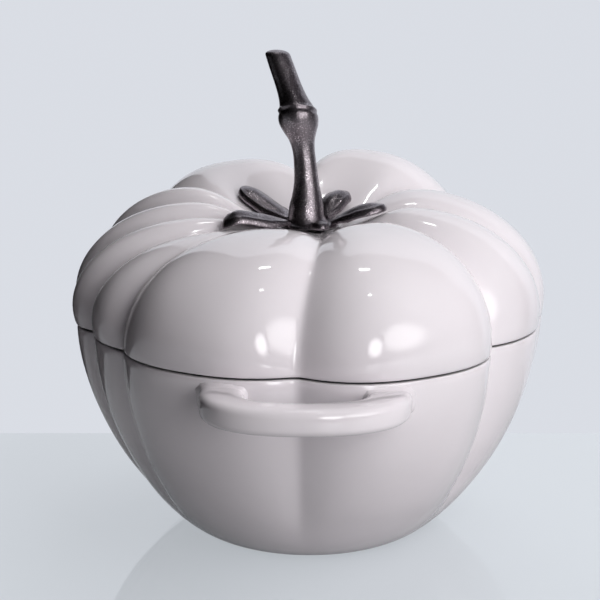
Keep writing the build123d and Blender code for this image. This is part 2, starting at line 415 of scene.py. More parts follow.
def shell_bands(count: int, inside: int, rim: int) -> list[int]:
    """Material numbers of a shell's strips: its inside, then its rim, then its outside.

    Args:
        count: how many rings the shell has.
        inside: number of the inside's last ring.
        rim: number of the rim's last ring.

    Returns:
        One number for each strip.
    """
    return [1] * inside + [2] * (rim - inside) + [0] * (count - 1 - rim)


def join(objects: Sequence[bpy.types.Object], name: str) -> bpy.types.Object:
    """Joins objects into the first one.

    Args:
        objects: the objects.
        name: the joined object's name.

    Returns:
        The joined object.
    """
    deselect()
    for obj in objects:
        obj.select_set(True)
    bpy.context.view_layer.objects.active = objects[0]
    bpy.ops.object.join()
    obj = bpy.context.object
    obj.name = obj.data.name = name
    return obj


def smooth(x: float) -> float:
    """Eases from 0 to 1."""
    return x * x * (3 - 2 * x)


def through(a: float, b: float, c: float, d: float, x: float) -> float:
    """Value x of the way from b to c on a smooth curve through a, b, c and d."""
    square, cube = 2 * a - 5 * b + 4 * c - d, 3 * b - a - 3 * c + d
    return 0.5 * (2 * b + (c - a) * x + square * x ** 2 + cube * x ** 3)


@dataclass(frozen=True)
class Lobe:
    """One groove and the lobe after it, in millimetres and degrees.

    Attributes:
        angle: where the groove lies round the pot.
        groove_r: radius of the groove at the seam.
        groove_z: how high the groove rises above the seam.
        bulge: how far the lobe's crest stands out past its groove.
        swell: how far the crest stands above its groove.
        power: how full the lobe's section is.
        top_share: where the crest is highest, as a share of its rim radius.
        soft: how softly the groove is rounded.
        turn: how far the groove has turned where it meets the stem's land.
    """

    angle: float
    groove_r: float
    groove_z: float
    bulge: float
    swell: float
    power: float
    top_share: float
    soft: float
    turn: float


@dataclass
class LobedForm:
    """The lobed outside that pot and lid share, in millimetres."""

    rim_z: float = 110.5
    base_r: float = 58.0
    mean_r: float = 119.0
    wall: float = 4.0
    floor: float = 5.0
    belly: tuple = (1.8, 1.4)
    groove_start: float = 0.15
    groove_fade: float = 1.5
    groove_rise: float = 3.0
    land_r: float = 13.0
    land_rise: float = 50.0
    boss: float = 7.0
    lip_depth: float = 5.0
    lip_wall: float = 3.0
    lip_gap: float = 1.0
    seam_gap: float = 1.0
    seam_depth: float = 2.2
    crest: float = 0.7
    hole_r: float = 3.5
    groove_share: float = 0.5
    groove_widest: float = 2.0
    lobe_widest: float = 11.0
    near: tuple = (0.0, 0.5, 1.1, 1.9, 3.0)
    pitch: float = 2.6
    step: float = 0.03
    halvings: int = 16
    lobes: tuple = (
        Lobe(-3.0, 114.5, 53.0, 15.0, 7.5, 3.0, 0.45, 3.5, 16.0),
        Lobe(56.0, 107.5, 53.0, 4.0, 7.5, 2.4, 0.45, 1.2, 8.0),
        Lobe(87.0, 120.5, 56.0, 8.0, 6.5, 2.4, 0.47, 1.4, 8.0),
        Lobe(121.0, 119.0, 62.0, 9.5, 15.5, 2.6, 0.60, 1.6, 8.0),
        Lobe(179.0, 113.0, 69.0, 9.5, 9.5, 2.6, 0.62, 2.5, 8.0),
        Lobe(242.0, 117.0, 63.0, 7.0, 6.0, 2.4, 0.52, 1.2, 8.0),
        Lobe(256.0, 119.0, 60.0, 6.5, 4.5, 2.4, 0.47, 0.9, 8.0),
        Lobe(269.0, 119.5, 54.0, 5.5, 4.5, 2.2, 0.45, 0.9, 8.0),
        Lobe(285.0, 115.0, 49.0, 2.0, 2.5, 2.2, 0.45, 0.9, 8.0),
        Lobe(306.0, 113.5, 51.0, 7.5, 6.0, 3.0, 0.45, 1.2, 8.0),
    )

    def __post_init__(self) -> None:
        """Places the columns, closer together beside each groove."""
        self.columns: list[tuple[int, float]] = []
        edge = self.near[-1]
        for index, lobe in enumerate(self.lobes):
            span = (self.after(index).angle - lobe.angle) % 360
            count = max(3, round((span - 2 * edge) / self.pitch))
            middle = [edge + (span - 2 * edge) * k / count for k in range(1, count)]
            far = [span - d for d in reversed(self.near[1:])]
            self.columns += [(index, d / span) for d in [*self.near, *middle, *far]]

    def after(self, index: int) -> Lobe:
        """The next lobe."""
        return self.lobes[(index + 1) % len(self.lobes)]

    def section(self, index: int, s: float) -> tuple[float, float, float, float, float]:
        """Measures of a lobe at one place across it.

        Args:
            index: which lobe.
            s: how far across it, from 0 at its own groove to 1 at the next.

        Returns:
            Groove radius and rise, crest radius and rise, and how far the skin lies towards the crest.
        """
        this, after = self.lobes[index], self.after(index)
        radius = this.groove_r + (after.groove_r - this.groove_r) * s
        rise = this.groove_z + (after.groove_z - this.groove_z) * s
        half = math.radians((after.angle - this.angle) % 360) * radius / 2
        soft = this.soft if s < 0.5 else after.soft
        off = (1 - abs(2 * s - 1)) * half
        full = math.hypot(half, soft) - soft
        u = 1 - (math.hypot(off, soft) - soft) / full
        return radius, rise, radius + this.bulge, rise + this.swell, 1 - max(u, 0.0) ** this.power

    def angle(self, index: int, s: float) -> float:
        """Angle round the pot at s across a lobe."""
        start = self.lobes[index].angle
        return start + ((self.after(index).angle - start) % 360) * s

    def lid_angle(self, index: int, s: float, t: float) -> float:
        """Angle round the lid at s across a lobe, with the grooves' turn towards the stem."""
        turn, after = self.lobes[index].turn, self.after(index).turn
        return self.angle(index, s) + (turn + (after - turn) * s) * t * t

    def find(self, turn: float, t: float = 0.0) -> tuple[int, float]:
        """Finds the lobe at an angle.

        Args:
            turn: the angle.
            t: how far up the lid, from 0 at the seam to 1 at the stem's land. The pot's lobes are those at 0.

        Returns:
            Which lobe it is, and how far across it the angle lies.
        """
        for index in range(len(self.lobes)):
            start = self.lid_angle(index, 0.0, t)
            span = self.lid_angle(index, 1.0, t) - start
            if (turn - start) % 360 <= span:
                return index, (turn - start) % 360 / span
        return 0, 0.0

    def rim(self, index: int, s: float) -> float:
        """Outer radius at the seam."""
        groove, _, crest, _, weight = self.section(index, s)
        return groove + (crest - groove) * weight

    def pot_r(self, index: int, s: float, z: float) -> float:
        """Outer radius of the pot.

        Args:
            index: which lobe.
            s: how far across it.
            z: the height.

        Returns:
            The radius.
        """
        t = min(max(z / self.rim_z, 0.0), 1.0)
        curve = (1 - (1 - t) ** self.belly[0]) ** (1 / self.belly[1])
        depth = (1 - (1 - self.groove_start) * (1 - t) ** self.groove_fade) * min(1.0, self.groove_rise * t)
        return self.base_r + (self.mean_r - self.base_r) * curve + (self.rim(index, s) - self.mean_r) * depth

    def arc(self, rim: float, height: float, top_r: float, widest: float, t: float) -> tuple[float, float]:
        """One meridian of the lid, rounded up to its highest place and eased down to the stem's land.

        Args:
            rim: its radius at the seam.
            height: how high it rises above the seam.
            top_r: its radius where it is highest.
            widest: height of its widest place.
            t: how far up the lid.

        Returns:
            Radius, and height above the seam.
        """
        if t > self.crest:
            s = (t - self.crest) / (1 - self.crest)
            return top_r - (top_r - self.land_r) * s, height - (height - self.land_rise) * smooth(s)
        start = math.asin(widest / (height - widest))
        reach = (rim - top_r) / math.cos(start)
        turn = -start + (math.pi / 2 + start) * t / self.crest
        return top_r + reach * math.cos(turn), widest + (height - widest) * math.sin(turn)

    def lid_point(self, index: int, s: float, t: float) -> Vector:
        """Point on the lid's outer skin.

        Args:
            index: which lobe.
            s: how far across it.
            t: how far up the lid.

        Returns:
            The point.
        """
        groove, rise, crest, peak, weight = self.section(index, s)
        low_r, low_z = self.arc(groove, rise, self.groove_share * groove, self.groove_widest, t)
        top_r, top_z = self.arc(crest, peak, self.lobes[index].top_share * crest, self.lobe_widest, t)
        a = math.radians(self.lid_angle(index, s, t))
        r = low_r + (top_r - low_r) * weight
        return Vector((r * math.sin(a), -r * math.cos(a), self.rim_z + low_z + (top_z - low_z) * weight))

    def wrap(self, index: int, s: float) -> tuple[int, float]:
        """Carries a place that lies past a lobe's edge over to the lobe beside it.

        Args:
            index: which lobe.
            s: how far across it, below 0 or above 1 when past its edge.

        Returns:
            The lobe, and how far across it.
        """
        if s < 0:
            return index - 1, 1 + s
        if s > 1:
            return (index + 1) % len(self.lobes), s - 1
        return index, s

    def lid_inside(self, index: int, s: float, t: float, skin: float) -> Vector:
        """Point a skin's thickness in from the lid's outer skin.

        Args:
            index: which lobe.
            s: how far across it.
            t: how far up the lid.
            skin: the thickness.

        Returns:
            The point.
        """
        above = self.lid_point(index, s, min(t + self.step, 1.0))
        below = self.lid_point(index, s, max(t - self.step, 0.0))
        before = self.lid_point(*self.wrap(index, s - self.step), t)
        ahead = self.lid_point(*self.wrap(index, s + self.step), t)
        out = (ahead - before).cross(above - below).normalized()
        return self.lid_point(index, s, t) - out * skin

    def lid_height(self, x: float, y: float) -> float:
        """Height of the lid's skin near the stem.

        Args:
            x: place to the right.
            y: place to the back.

        Returns:
            The height, found by halving.
        """
        turn = math.degrees(math.atan2(x, -y))
        low, high = self.crest / 2, 1.0
        spot = Vector()
        for _ in range(self.halvings):
            t = (low + high) / 2
            spot = self.lid_point(*self.find(turn, t), t)
            if math.hypot(spot.x, spot.y) > math.hypot(x, y):
                low = t
            else:
                high = t
        return spot.z

    def around(self, point: Callable[[int, float], Vector]) -> Ring:
        """A ring through point(index, s) for every column."""
        return [point(index, s) for index, s in self.columns]

    def level(self, z: float, inset: float, radius: Optional[Callable[[int, float], float]] = None) -> Ring:
        """A level lobed ring.

        Args:
            z: its height.
            inset: how far in it lies from the radius.
            radius: radius at each column, or none for the rim's.

        Returns:
            The ring.
        """
        radius = radius or self.rim

        def point(index: int, s: float) -> Vector:
            """Point of the ring."""
            r, a = radius(index, s) - inset, math.radians(self.angle(index, s))
            return Vector((r * math.sin(a), -r * math.cos(a), z))
        return self.around(point)

    def disc(self, z: float, r: float, turned: bool = False) -> Ring:
        """A level round ring.

        Args:
            z: its height.
            r: its radius.
            turned: whether it turns with the grooves, as it does near the stem.

        Returns:
            The ring.
        """
        def point(index: int, s: float) -> Vector:
            """Point of the ring."""
            a = math.radians(self.lid_angle(index, s, 1.0 if turned else 0.0))
            return Vector((r * math.sin(a), -r * math.cos(a), z))
        return self.around(point)


@dataclass
class Grip:
    """One slotted side grip, cast in one with the pot, in millimetres."""

    form: LobedForm
    side: int
    middle: tuple = (-2.0, 118.0)
    half: float = 49.0
    reach: float = 153.0
    square: float = 2.35
    arm: float = 21.0
    bar: float = 16.0
    slot_square: float = 2.8
    root: float = 104.0
    drop: float = 3.0
    thick: float = 13.0
    section: float = 3.8
    fillet: float = 2.4
    slot_fillet: float = 2.0
    clear: float = 0.9
    arm_steps: int = 14
    near_steps: int = 12
    bow_steps: int = 13
    sides: int = 36

    def bow(self, half: float, reach: float, square: float, a: float) -> Vector:
        """Point on the curved part of one outline.

        Args:
            half: half the outline's width.
            reach: how far out the outline goes.
            square: how square it is.
            a: angle along it.

        Returns:
            The point.
        """
        c, s = math.cos(a), math.sin(a)
        x = half * math.copysign(abs(c) ** (2 / square), c)
        return Vector((x, self.middle[1] + (reach - self.middle[1]) * s ** (2 / square), 0))

    def path(self) -> list[tuple[Vector, Vector]]:
        """Places the sections.

        Returns:
            Outer and inner point of each section, from one root round to the other.
        """
        depth, start = self.reach - self.middle[1], self.middle[1] - self.root
        slot_half, slot_reach = self.half - self.arm, self.reach - self.bar
        along = [self.root + start * k / self.arm_steps for k in range(self.arm_steps)]
        right = [(Vector((self.half, y, 0)), Vector((slot_half, y, 0))) for y in along]
        turns = [math.asin((k / depth) ** (self.square / 2)) for k in range(self.near_steps)]
        left_over = math.pi / 2 - turns[-1]
        turns += [turns[-1] + left_over * k / self.bow_steps for k in range(1, self.bow_steps + 1)]
        right += [(self.bow(self.half, self.reach, self.square, a),
                   self.bow(slot_half, slot_reach, self.slot_square, a)) for a in turns]
        return right + [(Vector((-o.x, o.y, 0)), Vector((-i.x, i.y, 0))) for o, i in reversed(right[:-1])]

    def clearance(self, spot: Vector) -> float:
        """How far a point lies outside the pot's wall."""
        index, s = self.form.find(math.degrees(math.atan2(spot.x, -spot.y)))
        return math.hypot(spot.x, spot.y) - self.form.pot_r(index, s, spot.z)

    def blend(self, spot: Vector, centre: Vector, radius: float) -> Vector:
        """Rounds the corner between grip and wall.

        Args:
            spot: a point of the grip's skin.
            centre: the middle of its section.
            radius: how wide the rounding is.

        Returns:
            The point pushed out from the section's middle, as far off the wall as it was.
        """
        off = self.clearance(spot)
        if off < radius:
            push = radius - math.sqrt(radius ** 2 - (radius - max(off, 0.0)) ** 2)
            spot = spot + (spot - centre).normalized() * push
            spot.z = min(spot.z, self.form.rim_z - self.clear)
            for _ in range(3):
                spot.y -= self.side * (self.clearance(spot) - off)
        return spot

    def seat(self, spot: Vector) -> Vector:
        """Ends a root half way through the pot's wall, so that none of it shows inside the pot.

        Args:
            spot: a point of the root, which is moved.

        Returns:
            The point.
        """
        middle = -self.form.wall / 2
        for _ in range(4):
            spot.y += self.side * max(middle - self.clearance(spot), 0.0)
        return spot

    def build(self) -> bpy.types.Object:
        """Makes the grip's mesh.

        Returns:
            The grip, bare.
        """
        level = self.form.rim_z - self.drop - self.thick / 2
        rings = []
        for outer, inner in self.path():
            centre, half = (outer + inner) / 2, (outer - inner) / 2
            middle = Vector((self.middle[0] + centre.x, self.side * centre.y, level))
            ring = []
            for k in range(self.sides):
                a = 2 * math.pi * k / self.sides
                u, v = (math.copysign(abs(c) ** (2 / self.section), c) for c in (math.cos(a), math.sin(a)))
                off = Vector((half.x * u, self.side * half.y * u, self.thick / 2 * v))
                ring.append(self.blend(middle + off, middle, self.fillet if u > 0 else self.slot_fillet))
            if max(self.clearance(spot) for spot in ring) > -self.form.wall / 2:
                rings.append([self.seat(spot) for spot in ring])
        return lattice(f"grip_{'front' if self.side < 0 else 'back'}", capped(rings))


@dataclass
class PotShell:
    """Enamelled pot with its two grips, in millimetres."""

    form: LobedForm
    finishes: Finishes
    floor_rings: tuple = (0.0, 20.0, 42.0)
    corner: tuple = ((0.0, 9.0), (0.35, 6.2), (1.2, 3.4), (3.0, 1.3), (5.5, 0.3), (9.0, 0.0))
    hollow_top: float = 1.2
    hollow_steps: int = 15
    steepest: float = 1.6
    rim_edge: tuple = ((4.0, 0.9), (3.7, 0.25), (3.1, 0.0), (1.9, 0.0), (0.75, 0.0), (0.25, 0.22))
    side_top: float = 0.75
    side_share: float = 0.93
    side_steps: int = 24
    foot_shares: tuple = (0.05, 0.034, 0.021, 0.012, 0.005, 0.0012)
    base_edge: float = 1.0
    base_ring: float = 30.0

    def hollow_r(self, index: int, s: float, z: float, tuck: float) -> float:
        """Radius of the cavity.

        Args:
            index: which lobe.
            s: how far across it.
            z: the height.
            tuck: how far the corner with the floor is drawn in.

        Returns:
            The radius.
        """
        f = self.form
        slope = f.pot_r(index, s, z + 0.5) - f.pot_r(index, s, z - 0.5)
        return f.pot_r(index, s, z) - f.wall * math.hypot(1.0, min(slope, self.steepest)) - tuck

    def rings(self) -> tuple[list[Ring], list[int]]:
        """Places the skin.

        Returns:
            Rings from the floor's middle, over the rim and down to the base's middle.
            The material number of each strip between them.
        """
        f = self.form
        rings = [f.disc(f.floor, r) for r in self.floor_rings]
        low = self.corner[-1][0]
        high = f.rim_z - self.hollow_top - f.floor - low
        straight = [(low + high * k / self.hollow_steps, 0.0) for k in range(1, self.hollow_steps + 1)]
        for lift, tuck in [*self.corner, *straight]:
            z = f.floor + lift
            rings.append(f.level(z, 0.0, lambda i, s, z=z, tuck=tuck: self.hollow_r(i, s, z, tuck)))
        inside = len(rings) - 1
        rings += [f.level(f.rim_z - sink, inset) for inset, sink in self.rim_edge]
        rim = len(rings) - 1
        shares = [1 - self.side_top / f.rim_z]
        shares += [1 - self.side_share * k / self.side_steps for k in range(1, self.side_steps + 1)]
        for share in [*shares, *self.foot_shares]:
            rings.append(f.level(f.rim_z * share, 0.0, lambda i, s, z=f.rim_z * share: f.pot_r(i, s, z)))
        rings += [f.disc(0.0, r) for r in (f.base_r - self.base_edge, self.base_ring, 0.0)]
        return rings, shell_bands(len(rings), inside, rim)

    def build(self) -> bpy.types.Object:
        """Makes and dresses the pot.

        Returns:
            The pot.
        """
        shell = lattice("pot_shell", *self.rings())
        pot = join([shell, Grip(self.form, -1).build(), Grip(self.form, 1).build()], "pot_enamelled")
        for material in (self.finishes.enamel, self.finishes.inner, self.finishes.rim):
            pot.data.materials.append(material)
        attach(pot, Body.POT.value)
        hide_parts("pot_body")
        LOG.info("pot: %d faces", len(pot.data.polygons))
        return pot


@dataclass
class LidShell:
    """Enamelled lid with its locating lip, in millimetres."""

    form: LobedForm
    finishes: Finishes
    boss_r: float = 11.0
    land_ring: float = 9.0
    hollow_from: float = 0.9
    hollow_share: float = 0.83
    hollow_steps: int = 22
    thick_below: float = 0.2
    lip_root: float = 2.0
    edge: float = 0.9
    edge_in: float = 0.3
    edge_up: float = 0.25
    bevel: float = 0.2
    skirt: tuple = ((0.7, 0.0), (0.2, 0.18))
    skirt_steps: tuple = (0.0125, 0.022)
    dome_from: float = 0.035
    dome_share: float = 0.925
    dome_steps: int = 44
    top_steps: tuple = (0.975, 0.99)

    def edges(self) -> list[tuple[float, float]]:
        """Places the rings round the lip's bottom and up to the seam.

        Returns:
            Inset from the rim, and height, of each.
        """
        f = self.form
        low, seam, out = f.rim_z - f.lip_depth, f.rim_z + f.seam_gap, f.wall + f.lip_gap
        lip = out + f.lip_wall
        return [
            (lip - self.edge_in, low + self.edge_up), (lip - self.edge, low),
            (out + self.edge, low), (out + self.edge_in, low + self.edge_up), (out, low + self.edge),
            (out, f.rim_z - self.edge_up), (out - self.bevel, f.rim_z),
            (f.seam_depth + self.bevel / 2, f.rim_z), (f.seam_depth, f.rim_z + self.bevel / 2),
            (f.seam_depth, seam), *((inset, seam + lift) for inset, lift in self.skirt),
        ]

    def rings(self) -> tuple[list[Ring], list[int]]:
        """Places the skin.

        Returns:
            Rings from the screw hole under the lid, round the rim and back to it on top.
            The material number of each strip between them.
        """
        f = self.form
        land, lip = f.rim_z + f.land_rise, f.wall + f.lip_gap + f.lip_wall
        rings = [f.disc(land, f.hole_r, True)]
        rings += [f.disc(land - f.boss, r, True) for r in (f.hole_r, self.boss_r)]
        for k in range(self.hollow_steps + 1):
            t = self.hollow_from - self.hollow_share * k / self.hollow_steps
            skin = f.wall + (f.lip_gap + f.lip_wall) * max(0.0, 1 - t / self.thick_below) ** 2
            rings.append(f.around(lambda i, s, t=t, skin=skin: f.lid_inside(i, s, t, skin)))
        rings += [f.level(z, lip) for z in (f.rim_z + self.lip_root, f.rim_z - f.lip_depth + self.edge)]
        inside = len(rings) - 1
        rings += [f.level(z, inset) for inset, z in self.edges()]
        rim = len(rings) - 1
        dome = [self.dome_from + self.dome_share * k / self.dome_steps for k in range(self.dome_steps + 1)]
        for t in [*self.skirt_steps, *dome, *self.top_steps]:
            rings.append(f.around(lambda i, s, t=t: f.lid_point(i, s, t)))
        rings += [f.disc(land, r, True) for r in (f.land_r, self.land_ring, f.hole_r)]
        return rings, shell_bands(len(rings), inside, rim)

    def build(self) -> bpy.types.Object:
        """Makes and dresses the lid.

        Returns:
            The lid.
        """
        lid = lattice("lid_enamelled", *self.rings())
        for material in (self.finishes.enamel, self.finishes.inner, self.finishes.rim):
            lid.data.materials.append(material)
        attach(lid, Body.LID.value)
        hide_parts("lid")
        LOG.info("lid: %d faces", len(lid.data.polygons))
        return lid


@dataclass
class Stem:
    """Bent stem knob with a node below its blunt end.

    The rows of foot and run, in millimetres, hold the height above the rim, the middle's place
    to the right and to the back, and the radius.
    """

    form: LobedForm
    finishes: Finishes
    foot: tuple = (53.2, -1.0, 0.0, 10.6)
    run: tuple = (
        (55.5, -1.6, 0.0, 9.7), (58.5, -1.7, 0.2, 9.2), (62.0, -1.6, 0.4, 8.8), (67.0, -1.4, 0.7, 7.7),
        (74.0, -1.6, 1.0, 6.5), (81.5, -2.1, 1.4, 6.0), (89.0, -2.9, 1.9, 5.8), (95.0, -3.9, 2.3, 6.6),
        (99.5, -4.9, 2.7, 8.5), (104.0, -5.6, 3.1, 10.2), (108.5, -6.0, 3.9, 10.3), (112.5, -6.8, 5.0, 8.8),
        (117.5, -8.7, 6.5, 7.5), (124.0, -11.2, 8.8, 6.9), (132.0, -14.2, 11.6, 6.7),
    )
    end: tuple = (141.0, -17.4, 14.6)
    end_r: float = 6.7
    end_from: float = 0.68
    end_power: float = 2.6
    end_taper: float = 0.04
    end_steps: tuple = (0.2, 0.4, 0.6, 0.72, 0.8, 0.86, 0.91, 0.95, 0.98, 0.995, 1.0)
    ring_z: float = 110.6
    ring_lift: float = 0.6
    ring_wide: float = 0.75
    nick_share: float = 0.7
    nick_below: float = 1.9
    nick_wide: float = 0.8
    ring_tilt: float = 0.42
    tilt_reach: float = 13.0
    fine: int = 6
    sides: int = 56

    def spots(self) -> list[tuple[float, ...]]:
        """Places the rings.

        Returns:
            A row for every ring, smoothed between the measured ones and rounded over at the end.
        """
        rows = [self.foot, *self.run]
        out = []
        for k in range(len(rows) - 1):
            four = rows[max(k - 1, 0)], rows[k], rows[k + 1], rows[min(k + 2, len(rows) - 1)]
            for j in range(self.fine):
                out.append(tuple(through(*values, j / self.fine) for values in zip(*four)))
        last = rows[-1]
        out.append(last)
        for s in self.end_steps:
            over = max(0.0, (s - self.end_from) / (1 - self.end_from)) ** self.end_power
            r = self.end_r * max(1 - over, 0.0) ** 0.5 * (1 - self.end_taper * s)
            out.append((*(a + (b - a) * s for a, b in zip(last, self.end)), r))
        return out

    def ring(self, z: float, x: float, y: float, r: float) -> Ring:
        """One ring, with the node's raised ring and nick, and its tilt towards the back.

        Args:
            z: height above the rim.
            x: the middle's place to the right.
            y: the middle's place to the back.
            r: the radius.

        Returns:
            The ring.
        """
        up = z - self.ring_z
        raised = math.exp(-(up / self.ring_wide) ** 2)
        nick = math.exp(-((up + self.nick_below) / self.nick_wide) ** 2)
        r += self.ring_lift * (raised - self.nick_share * nick)
        tilt = self.ring_tilt * math.exp(-(up / self.tilt_reach) ** 2)
        ring = []
        for k in range(self.sides):
            a = 2 * math.pi * k / self.sides
            across, back = r * math.cos(a), r * math.sin(a)
            ring.append(Vector((x + across, y + back, self.form.rim_z + z - tilt * back)))
        return ring

    def build(self) -> bpy.types.Object:
        """Makes and dresses the stem.

        Returns:
            The stem.
        """
        stem = lattice("stem_cast", capped([self.ring(*spot) for spot in self.spots()]))
        stem.data.materials.append(self.finishes.casting)
        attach(stem, Body.LID.value)
        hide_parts("stem_knob")
        LOG.info("stem: %d faces", len(stem.data.polygons))
        return stem


@dataclass(frozen=True)
class Leaf:
    """One leaf, in millimetres and degrees.

    Attributes:
        angle: where it points.
        length: how far its tip lies from the stem's middle.
        arch: how high its ridge rises above the root.
        tip: how high its ridge ends above the root.
        width: its full width.
        nose: length of its rounded end.
    """

    angle: float
    length: float
    arch: float
    tip: float
    width: float
    nose: float


@dataclass
class Calyx:
    """Five cupped leaves on one hub, in millimetres. Places along a leaf go from 0 at its root to 1."""

    form: LobedForm
    finishes: Finishes
    seat: float = 0.8
    hub: float = 2.4
    hub_r: float = 15.5
    hub_foot: tuple = ((-0.6, 0.0), (0.0, 0.5))
    hub_brow: tuple = ((-0.3, -1.0), (-1.6, -0.25), (-3.5, 0.0))
    hub_sides: int = 64
    root: float = 12.4
    sink: float = 1.2
    skin: float = 2.4
    thin: float = 0.2
    arch_at: float = 0.75
    fall_at: float = 0.6
    neck: float = 0.55
    neck_end: float = 0.45
    cup: float = 0.30
    cup_rise: float = 3.0
    gap: float = 0.5
    border: float = 1.1
    border_at: float = 0.86
    border_wide: float = 0.13
    border_rise: float = 4.0
    edge_power: int = 9
    blade_steps: int = 16
    nose_steps: int = 12
    lanes: int = 10
    leaves: tuple = (
        Leaf(18.0, 23.0, 3.0, 0.5, 11.0, 9.0),
        Leaf(77.0, 41.0, 10.0, 6.0, 16.0, 11.0),
        Leaf(149.0, 37.0, 11.0, 9.0, 15.0, 7.5),
        Leaf(232.0, 47.0, 9.0, 7.0, 16.0, 10.0),
        Leaf(293.0, 49.0, 6.5, 2.5, 16.0, 11.0),
    )

    def droop(self, u: float, leaf: Leaf) -> float:
        """How far a leaf's sides hang below its ridge at u along it."""
        return self.cup * leaf.width * min(1.0, self.cup_rise * u)

    def spine(self, u: float, leaf: Leaf) -> tuple[float, float, float, float, float]:
        """Measures of a leaf at one place along it, which keeps clear of the lid.

        Args:
            u: the place.
            leaf: the leaf.

        Returns:
            Radius, ridge height, half width, share of the rounded end, and thickness.
        """
        foot = self.form.rim_z + self.form.land_rise + self.seat + self.hub
        rise = leaf.arch * math.sin(math.pi * min(u, self.arch_at) / (2 * self.arch_at))
        drop = (leaf.arch - leaf.tip) * max(0.0, (u - self.fall_at) / (1 - self.fall_at)) ** 2
        r = self.root + (leaf.length - self.root) * u
        end = min(max(0.0, 1 - (leaf.length - r) / leaf.nose), 1.0)
        full = math.sin(math.pi * min(u / self.neck_end, 1.0) / 2)
        half = leaf.width / 2 * (self.neck + (1 - self.neck) * full)
        skin = self.skin * (1 - self.thin * u)
        a = math.radians(leaf.angle)
        high = []
        for side in (-1, 0, 1):
            across = side * math.sqrt(1 - end ** 2)
            x = r * math.sin(a) + across * half * math.cos(a)
            y = -r * math.cos(a) + across * half * math.sin(a)
            high.append(self.form.lid_height(x, y) + self.droop(u, leaf) * (across ** 2 + end ** 2))
        own = foot - self.sink + skin + rise - drop
        return r, max(own, max(high) + self.gap + skin), half, end, skin

    def crown(self, ridge: Sequence[tuple[float, float]]) -> list[float]:
        """Lifts a leaf's ridge wherever it dips below the line between two of its places.

        Args:
            ridge: radius and height at each place, from the root to the tip.

        Returns:
            The lifted heights.
        """
        heights = [z for _, z in ridge]
        for i, (r0, z0) in enumerate(ridge):
            for j in range(i + 2, len(ridge)):
                r1, z1 = ridge[j]
                for k in range(i + 1, j):
                    share = (ridge[k][0] - r0) / max(r1 - r0, 1e-9)
                    heights[k] = max(heights[k], z0 + (z1 - z0) * share)
        return heights

    def blade(self, leaf: Leaf, number: int) -> bpy.types.Object:
        """Makes one cupped leaf with a raised border that runs round its blunt end.

        Args:
            leaf: the leaf.
            number: its number, for the name.

        Returns:
            The leaf's mesh.
        """
        a = math.radians(leaf.angle)
        along, side = Vector((math.sin(a), -math.cos(a), 0)), Vector((math.cos(a), math.sin(a), 0))
        share = leaf.nose / (leaf.length - self.root)
        steps = [(1 - share) * k / self.blade_steps for k in range(self.blade_steps)]
        turns = [math.pi / 2 * k / self.nose_steps for k in range(self.nose_steps + 1)]
        steps += [1 - share + share * math.sin(turn) for turn in turns]
        lanes = [math.sin(math.pi / 2 * k / self.lanes) for k in range(-self.lanes, self.lanes + 1)]
        places = [self.spine(u, leaf) for u in steps]
        crown = self.crown([(place[0], place[1]) for place in places])
        rings = []
        for u, z, (r, _, half, end, skin) in zip(steps, crown, places):
            over, under = [], []
            for v in lanes:
                across = v * math.sqrt(max(1 - end ** 2, 0.0))
                edge = across ** 2 + end ** 2
                brow = math.exp(-((math.sqrt(edge) - self.border_at) / self.border_wide) ** 2)
                lift = self.border * brow * min(1.0, self.border_rise * u)
                turn = skin * 0.5 * (1 - math.sqrt(max(1 - edge ** self.edge_power, 0.0)))
                low = z - self.droop(u, leaf) * edge
                flat = along * r + side * (half * across)
                over.append(Vector((flat.x, flat.y, low + lift - turn)))
                under.append(Vector((flat.x, flat.y, low - skin + turn)))
            rings.append(over + under[::-1])
        return lattice(f"leaf_{number}", capped(rings))

    def plate(self) -> bpy.types.Object:
        """Makes the round hub.

        Returns:
            The hub's mesh.
        """
        low = self.form.rim_z + self.form.land_rise + self.seat
        top, hole_r = low + self.hub, self.form.hole_r
        foot = [(self.hub_r + out, low + up) for out, up in self.hub_foot]
        brow = [(self.hub_r + out, top + up) for out, up in self.hub_brow]
        turns = [2 * math.pi * k / self.hub_sides for k in range(self.hub_sides)]
        profile = [(hole_r, low), *foot, *brow, (hole_r, top), (hole_r, low)]
        rings = [[Vector((r * math.cos(a), r * math.sin(a), z)) for a in turns] for r, z in profile]
        return lattice("calyx_hub", rings)

    def build(self) -> bpy.types.Object:
        """Makes and dresses hub and leaves.

        Returns:
            The calyx.
        """
        hub = self.plate()
        leaves = [self.blade(leaf, number) for number, leaf in enumerate(self.leaves)]
        calyx = join([hub, *leaves], "calyx_cast")
        calyx.data.materials.append(self.finishes.casting)
        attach(calyx, Body.LID.value)
        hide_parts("calyx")
        LOG.info("calyx: %d faces", len(calyx.data.polygons))
        return calyx


def dress_node(frame: dict, node: str, material: bpy.types.Material) -> None:
    """Gives a carried-over CAD node its finish.

    Args:
        frame: what the frame's load gave.
        node: the node's name.
        material: its finish.
    """
    obj = frame["nodes"][node]
    obj.data.materials.clear()
    obj.data.materials.append(material)
    LOG.info("%s keeps its solid", node)


def connect(tree: bpy.types.NodeTree, pairs: Sequence[tuple]) -> None:
    """Links nodes.

    Args:
        tree: the tree that they are in.
        pairs: an output and an input socket for each link.
    """
    for source, target in pairs:
        tree.links.new(source, target)


@dataclass(frozen=True)
class Lamp:
    """One soft box that faces the pot.

    Attributes:
        name: its name.
        at: its place, in metres.
        size: width and height, in metres.
        power: in watts.
        mirrored: whether it shows in gloss.
    """

    name: str
    at: tuple
    size: tuple
    power: float
    mirrored: bool = False


@dataclass(frozen=True)
class Window:
    """One soft-edged panel that faces the pot and shows only in gloss.

    Attributes:
        name: its name.
        at: its place, in metres.
        size: width and height, in metres.
        level: brightness of its middle.
    """

    name: str
    at: tuple
    size: tuple
    level: float


